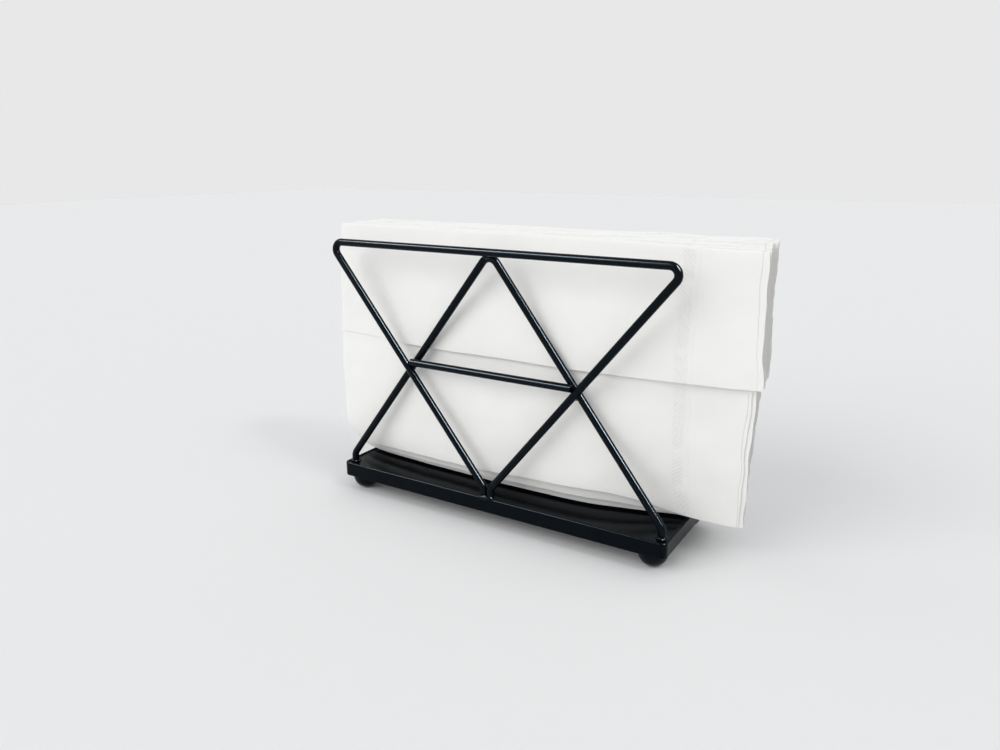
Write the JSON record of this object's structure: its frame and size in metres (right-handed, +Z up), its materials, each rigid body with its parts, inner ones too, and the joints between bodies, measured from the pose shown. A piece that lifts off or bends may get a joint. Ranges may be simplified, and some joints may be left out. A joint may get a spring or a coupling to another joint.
{
  "type": "napkin dispenser",
  "caption": "Upright wire napkin dispenser: a low tray on ball feet with two open triangle-and-V wire panels holding a row of folded paper napkins.",
  "frame": {"origin": "on the table under the middle of the tray", "axes": "+X along the tray to the right seen from the front, -Y towards the front, +Z up"},
  "size_m": [0.216, 0.0646, 0.1402],
  "materials": {
    "black_coated_steel": "gloss black coating with a navy tint",
    "white_paper": "soft matt white paper, embossed band, slightly warm"
  },
  "bodies": {
    "holder": {"base_tray": "black_coated_steel", "foot_front_left": "black_coated_steel", "foot_front_right": "black_coated_steel", "foot_rear_left": "black_coated_steel", "foot_rear_right": "black_coated_steel", "foot_welds": "black_coated_steel", "front_triangle_wire": "black_coated_steel", "front_leg_wire": "black_coated_steel", "front_crossbar": "black_coated_steel", "front_tip_weld": "black_coated_steel", "front_leg_welds": "black_coated_steel", "front_crossing_welds": "black_coated_steel", "front_apex_weld": "black_coated_steel", "rear_triangle_wire": "black_coated_steel", "rear_leg_wire": "black_coated_steel", "rear_crossbar": "black_coated_steel", "rear_tip_weld": "black_coated_steel", "rear_leg_welds": "black_coated_steel", "rear_crossing_welds": "black_coated_steel", "rear_apex_weld": "black_coated_steel"},
    "napkin_01": {"napkin_01": "white_paper"},
    "napkin_02": {"napkin_02": "white_paper"},
    "napkin_03": {"napkin_03": "white_paper"},
    "napkin_04": {"napkin_04": "white_paper"},
    "napkin_05": {"napkin_05": "white_paper"},
    "napkin_06": {"napkin_06": "white_paper"},
    "napkin_07": {"napkin_07": "white_paper"},
    "napkin_08": {"napkin_08": "white_paper"},
    "napkin_09": {"napkin_09": "white_paper"},
    "napkin_10": {"napkin_10": "white_paper"},
    "napkin_11": {"napkin_11": "white_paper"},
    "napkin_12": {"napkin_12": "white_paper"}
  },
  "joints": [
    {"name": "napkin_01_pull", "type": "slide", "parent": "holder", "child": "napkin_01", "axis": [0, 0, 1], "range_m": [0, 0.125]},
    {"name": "napkin_02_pull", "type": "slide", "parent": "holder", "child": "napkin_02", "axis": [0, 0, 1], "range_m": [0, 0.125]},
    {"name": "napkin_03_pull", "type": "slide", "parent": "holder", "child": "napkin_03", "axis": [0, 0, 1], "range_m": [0, 0.125]},
    {"name": "napkin_04_pull", "type": "slide", "parent": "holder", "child": "napkin_04", "axis": [0, 0, 1], "range_m": [0, 0.125]},
    {"name": "napkin_05_pull", "type": "slide", "parent": "holder", "child": "napkin_05", "axis": [0, 0, 1], "range_m": [0, 0.125]},
    {"name": "napkin_06_pull", "type": "slide", "parent": "holder", "child": "napkin_06", "axis": [0, 0, 1], "range_m": [0, 0.125]},
    {"name": "napkin_07_pull", "type": "slide", "parent": "holder", "child": "napkin_07", "axis": [0, 0, 1], "range_m": [0, 0.125]},
    {"name": "napkin_08_pull", "type": "slide", "parent": "holder", "child": "napkin_08", "axis": [0, 0, 1], "range_m": [0, 0.125]},
    {"name": "napkin_09_pull", "type": "slide", "parent": "holder", "child": "napkin_09", "axis": [0, 0, 1], "range_m": [0, 0.125]},
    {"name": "napkin_10_pull", "type": "slide", "parent": "holder", "child": "napkin_10", "axis": [0, 0, 1], "range_m": [0, 0.125]},
    {"name": "napkin_11_pull", "type": "slide", "parent": "holder", "child": "napkin_11", "axis": [0, 0, 1], "range_m": [0, 0.125]},
    {"name": "napkin_12_pull", "type": "slide", "parent": "holder", "child": "napkin_12", "axis": [0, 0, 1], "range_m": [0, 0.125]}
  ]
}
